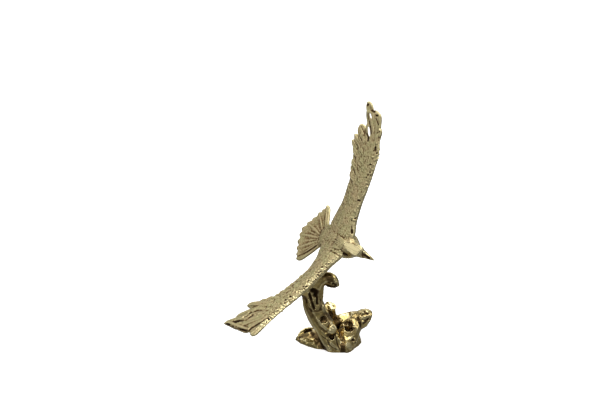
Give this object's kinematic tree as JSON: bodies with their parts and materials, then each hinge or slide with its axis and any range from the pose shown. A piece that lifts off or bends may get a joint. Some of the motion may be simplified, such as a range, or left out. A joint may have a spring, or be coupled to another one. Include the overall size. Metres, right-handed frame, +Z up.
{
  "type": "falcon statuette",
  "caption": "Cast brass statuette of a falcon banking in flight with spread wings and fanned tail, brazed to a gnarled tree-stump plinth with a flat underside.",
  "frame": {"origin": "on the flat underside of the tree stump, near the middle of its foot, where the statuette meets the shelf", "axes": "+Z up; the picture looks along +Y and about 20 degrees down, with +X to its right; the falcon's left wing points up and its beak to +X and towards the viewer"},
  "size_m": [0.1265, 0.0842, 0.1912],
  "materials": {
    "satin_brass": "rough, stippled and lightly tarnished, pale olive gold, with bright rubbed leading edges and dark pits",
    "polished_brass": "polished antique brass, glossy, with brown-black patina left in the hollows"
  },
  "bodies": {
    "root": {"falcon": "satin_brass", "tree_stump": "polished_brass"}
  },
  "joints": []
}
